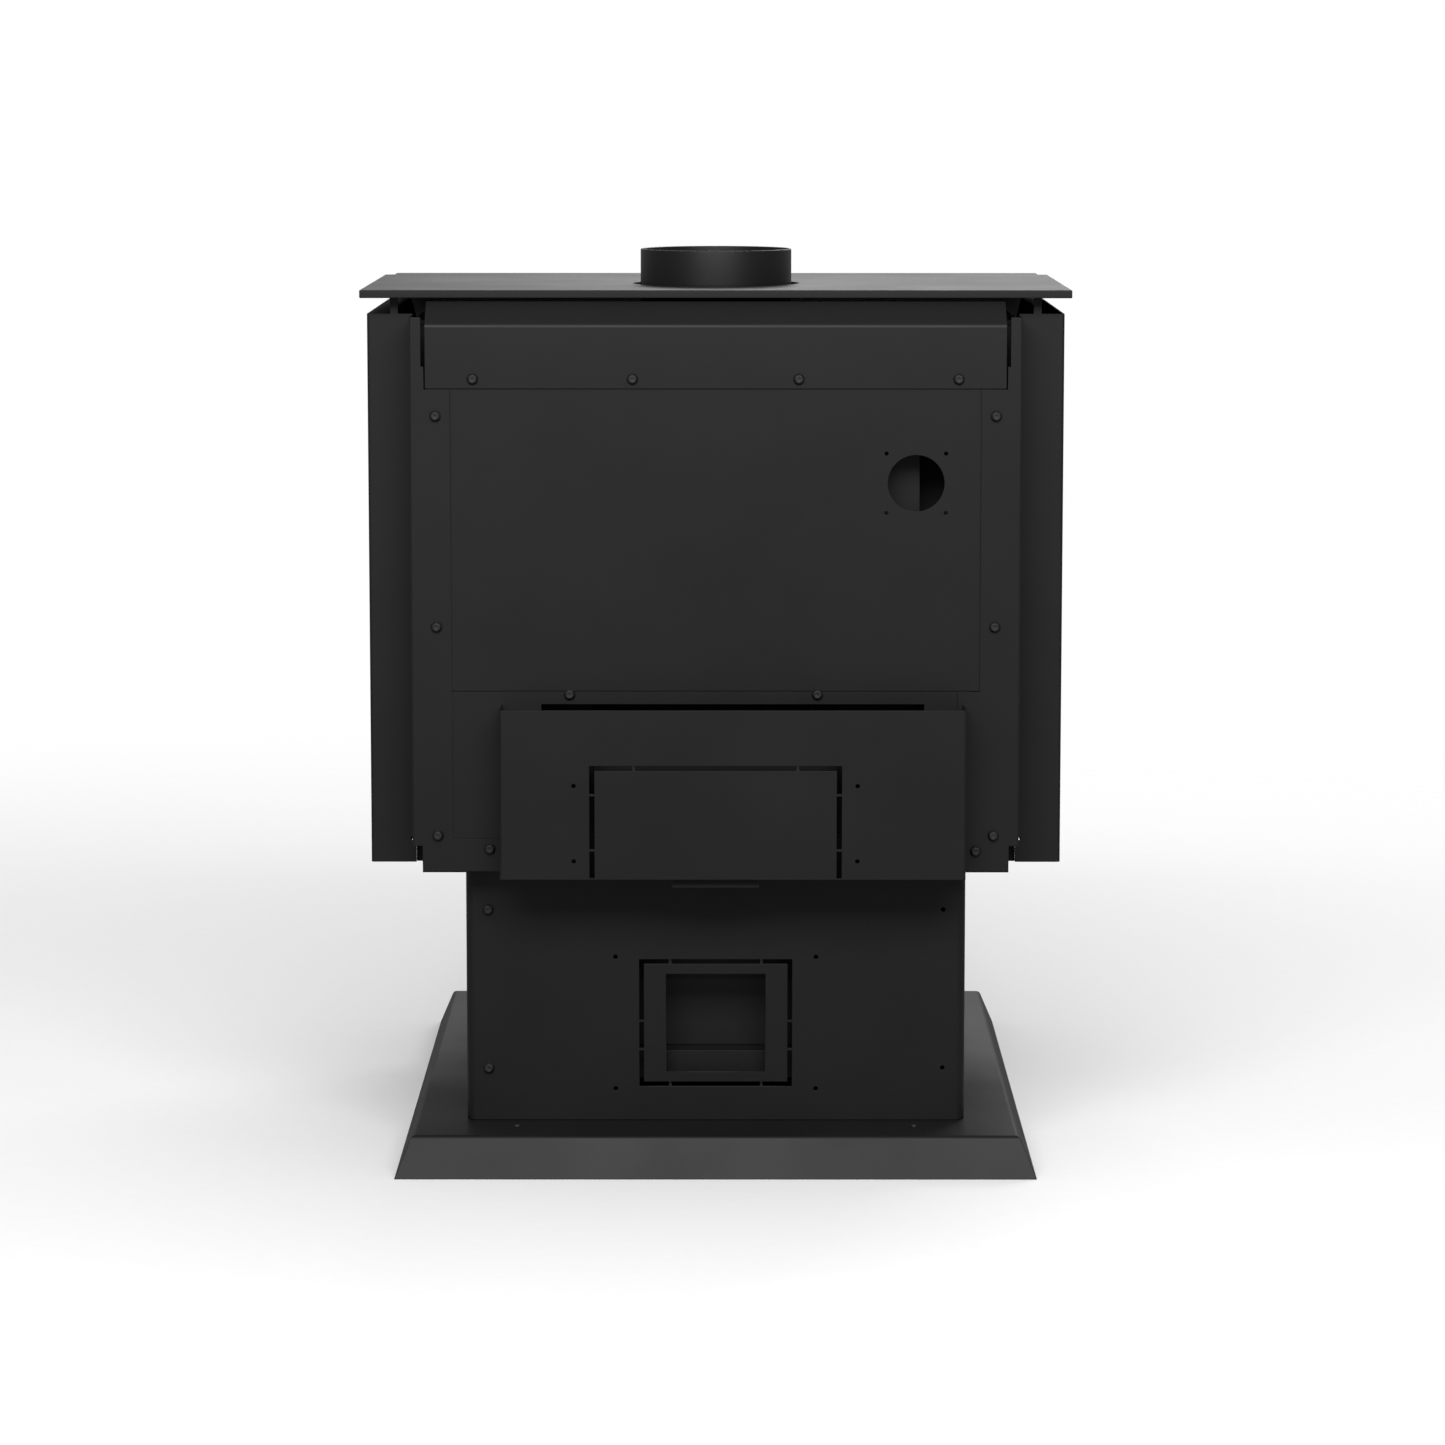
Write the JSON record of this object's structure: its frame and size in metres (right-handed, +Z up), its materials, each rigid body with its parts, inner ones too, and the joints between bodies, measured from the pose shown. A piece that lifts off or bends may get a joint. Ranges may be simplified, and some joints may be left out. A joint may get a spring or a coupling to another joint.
{
  "type": "wood burning stove",
  "caption": "Free-standing wood burning stove on a pedestal: glazed door, ash drawer, thick top plate with a flue collar, side convection panels and a rear blower duct.",
  "frame": {"origin": "on the floor, at the middle of the stove's width and of its depth", "axes": "+Z up, the door faces -Y, the rear blower duct faces +Y, +X is to the right of a person facing the door"},
  "size_m": [0.705, 0.83, 0.914],
  "materials": {
    "stove_paint": "matt high-temperature stove paint, charcoal black",
    "top_paint": "matt high-temperature stove paint on thick plate",
    "cast_iron": "painted casting, matt",
    "bright_steel": "bare steel, satin",
    "bolt_steel": "black oxide with a soft shine",
    "spring_steel": "coiled bright wire",
    "stainless": "stainless tube, heat tinted",
    "firebrick": "rough pale fired clay",
    "baffle_board": "matt refractory board",
    "mineral_fibre": "woven mineral fibre",
    "stove_glass": "clear ceramic glass with an amber tint"
  },
  "bodies": {
    "stove_body": {"base_plinth": "stove_paint", "pedestal_shell": "stove_paint", "pedestal_front": "stove_paint", "pedestal_bolt_lower": "bolt_steel", "pedestal_bolt_upper": "bolt_steel", "drawer_shelf": "stove_paint", "air_box": "stove_paint", "firebox_shell": "stove_paint", "firebox_roof": "stove_paint", "firebox_front": "stove_paint", "flue_collar": "stove_paint", "air_riser_left": "stove_paint", "air_riser_right": "stove_paint", "top_plate": "top_paint", "top_bevel_plate": "top_paint", "side_panel_left": "stove_paint", "side_panel_right": "stove_paint", "rear_frame": "stove_paint", "rear_lip_panel": "stove_paint", "rear_centre_panel": "stove_paint", "rear_lower_panel": "stove_paint", "duct_cover": "stove_paint", "floor_brick_left": "firebrick", "floor_brick_right": "firebrick", "floor_brick_front": "firebrick", "floor_brick_rear": "firebrick", "rear_brick_left": "firebrick", "rear_brick_right": "firebrick", "side_brick_left_front": "firebrick", "side_brick_left_rear": "firebrick", "side_brick_right_front": "firebrick", "side_brick_right_rear": "firebrick", "secondary_air_tube_1": "stainless", "secondary_air_tube_2": "stainless", "secondary_air_tube_3": "stainless", "baffle_board_left": "baffle_board", "baffle_board_right": "baffle_board", "baffle_blanket": "mineral_fibre", "hinge_bracket_lower": "cast_iron", "hinge_bracket_upper": "cast_iron", "hinge_pin_lower": "bright_steel", "hinge_pin_upper": "bright_steel", "latch_catch": "bright_steel", "ash_lip": "stove_paint"},
    "door": {"door_frame": "cast_iron", "glass_gasket": "mineral_fibre", "door_glass": "stove_glass", "glass_retainer_bottom": "bright_steel", "glass_retainer_top": "bright_steel", "door_gasket": "mineral_fibre"},
    "door_latch": {"door_handle": "bright_steel", "handle_grip": "spring_steel", "latch_cam": "bright_steel"},
    "ash_drawer": {"ash_drawer_pan": "stove_paint", "ash_drawer_front": "stove_paint", "ash_drawer_handle": "bright_steel"},
    "air_control": {"air_damper": "bright_steel", "air_control_rod": "bright_steel", "air_control_knob": "spring_steel"},
    "ash_lid": {"ash_plug": "cast_iron"}
  },
  "joints": [
    {"name": "door_swing", "type": "hinge", "parent": "stove_body", "child": "door", "pos_m": [-0.275, -0.303, 0.54], "axis": [0, 0, -1], "range_deg": [0, 110]},
    {"name": "latch_turn", "type": "hinge", "parent": "door", "child": "door_latch", "pos_m": [0.243, -0.32, 0.54], "axis": [0, -1, 0], "range_deg": [0, 90]},
    {"name": "ash_drawer_slide", "type": "slide", "parent": "stove_body", "child": "ash_drawer", "axis": [0, -1, 0], "range_m": [0, 0.4]},
    {"name": "air_control_slide", "type": "slide", "parent": "stove_body", "child": "air_control", "axis": [0, -1, 0], "range_m": [0, 0.045]},
    {"name": "ash_plug_lift", "type": "slide", "parent": "stove_body", "child": "ash_lid", "axis": [0, 0, 1], "range_m": [0, 0.05]}
  ]
}
